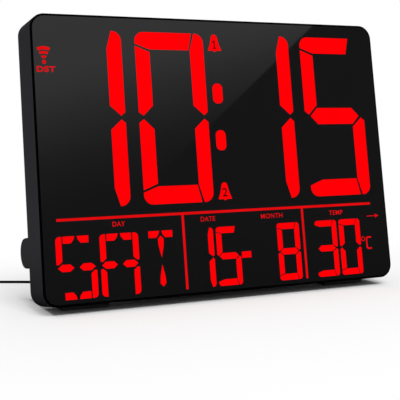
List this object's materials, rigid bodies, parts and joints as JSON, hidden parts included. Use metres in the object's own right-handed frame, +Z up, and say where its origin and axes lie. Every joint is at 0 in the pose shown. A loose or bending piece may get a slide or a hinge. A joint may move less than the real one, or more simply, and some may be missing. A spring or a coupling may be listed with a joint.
{
  "type": "digital wall clock",
  "caption": "Slim digital clock with red segment time, weekday, date and temperature on a gloss black panel, on a fold-out stand, with a USB power lead.",
  "frame": {"origin": "on the floor, at the middle of the box round the clock without its lead", "axes": "+Z up, the display faces -Y and leans back towards +Y, +X to the viewer's right"},
  "size_m": [0.4448, 0.1971, 0.2746],
  "materials": {
    "housing_plastic": "satin",
    "panel_acrylic": "gloss",
    "red_diffuser": "satin",
    "foam_tape": "matte",
    "white_film": "matte",
    "circuit_board": "satin",
    "led_lens": "gloss",
    "screw_steel": "satin",
    "shaft_steel": "brushed",
    "component_plastic": "matte",
    "component_metal": "satin",
    "ribbon": "matte",
    "button_plastic": "satin",
    "foot_rubber": "matte",
    "cord_sheath": "satin",
    "plug_moulding": "satin",
    "plug_metal": "polished",
    "tie_strap": "matte"
  },
  "bodies": {
    "case": {"board_screws": "screw_steel", "buzzer": "component_plastic", "cell_cup": "component_plastic", "coin_cell": "component_metal", "colon_segments": "red_diffuser", "controller_chip": "component_plastic", "cord_coil": "cord_sheath", "cord_tie": "tie_strap", "cover_screws": "screw_steel", "date_segments": "red_diffuser", "dc_jack": "component_plastic", "dc_plug": "plug_moulding", "diffuser_film": "white_film", "display_screws": "screw_steel", "divider_bars": "red_diffuser", "foot_left": "foot_rubber", "foot_right": "foot_rubber", "front_housing": "housing_plastic", "front_panel": "panel_acrylic", "hinge_pod_left": "housing_plastic", "hinge_pod_right": "housing_plastic", "hour_segments": "red_diffuser", "led_board": "circuit_board", "leds": "led_lens", "light_reflector": "white_film", "main_board": "circuit_board", "minute_segments": "red_diffuser", "panel_tape": "foam_tape", "plug_relief": "cord_sheath", "pod_screws": "screw_steel", "power_cord": "cord_sheath", "radio_module": "component_metal", "rear_cover": "housing_plastic", "ribbon_cable": "ribbon", "ribbon_headers": "component_plastic", "stand_shaft": "shaft_steel", "supply_capacitor": "component_metal", "tact_switches": "component_plastic", "temperature_segments": "red_diffuser", "temperature_sensor": "component_plastic", "timing_crystal": "component_metal", "usb_plug": "plug_moulding", "usb_shell": "plug_metal", "weekday_segments": "red_diffuser"},
    "stand": {"stand_leg": "housing_plastic", "stand_pad": "foot_rubber"},
    "cell_door": {"battery_door": "housing_plastic"},
    "set_key": {"set_button": "button_plastic"},
    "up_key": {"up_button": "button_plastic"},
    "down_key": {"down_button": "button_plastic"},
    "alarm_key": {"alarm_button": "button_plastic"},
    "dimmer_key": {"dimmer_button": "button_plastic"}
  },
  "joints": [
    {"name": "stand_fold", "type": "hinge", "parent": "case", "child": "stand", "pos_m": [0, 0.0265, 0.04823], "axis": [1, 0, 0], "range_deg": [-23, 0]},
    {"name": "cell_door_turn", "type": "hinge", "parent": "case", "child": "cell_door", "pos_m": [-0.05, 0.01101, 0.07455], "axis": [0, -0.9871, 0.1599], "range_deg": [0, 45]},
    {"name": "set_press", "type": "slide", "parent": "case", "child": "set_key", "axis": [0, -0.9871, 0.1599], "range_m": [0, 0.0006], "stiffness_N_per_m": 1500},
    {"name": "up_press", "type": "slide", "parent": "case", "child": "up_key", "axis": [0, -0.9871, 0.1599], "range_m": [0, 0.0006], "stiffness_N_per_m": 1500},
    {"name": "down_press", "type": "slide", "parent": "case", "child": "down_key", "axis": [0, -0.9871, 0.1599], "range_m": [0, 0.0006], "stiffness_N_per_m": 1500},
    {"name": "alarm_press", "type": "slide", "parent": "case", "child": "alarm_key", "axis": [0, -0.9871, 0.1599], "range_m": [0, 0.0006], "stiffness_N_per_m": 1500},
    {"name": "dimmer_press", "type": "slide", "parent": "case", "child": "dimmer_key", "axis": [0, -0.9871, 0.1599], "range_m": [0, 0.0006], "stiffness_N_per_m": 1500}
  ]
}
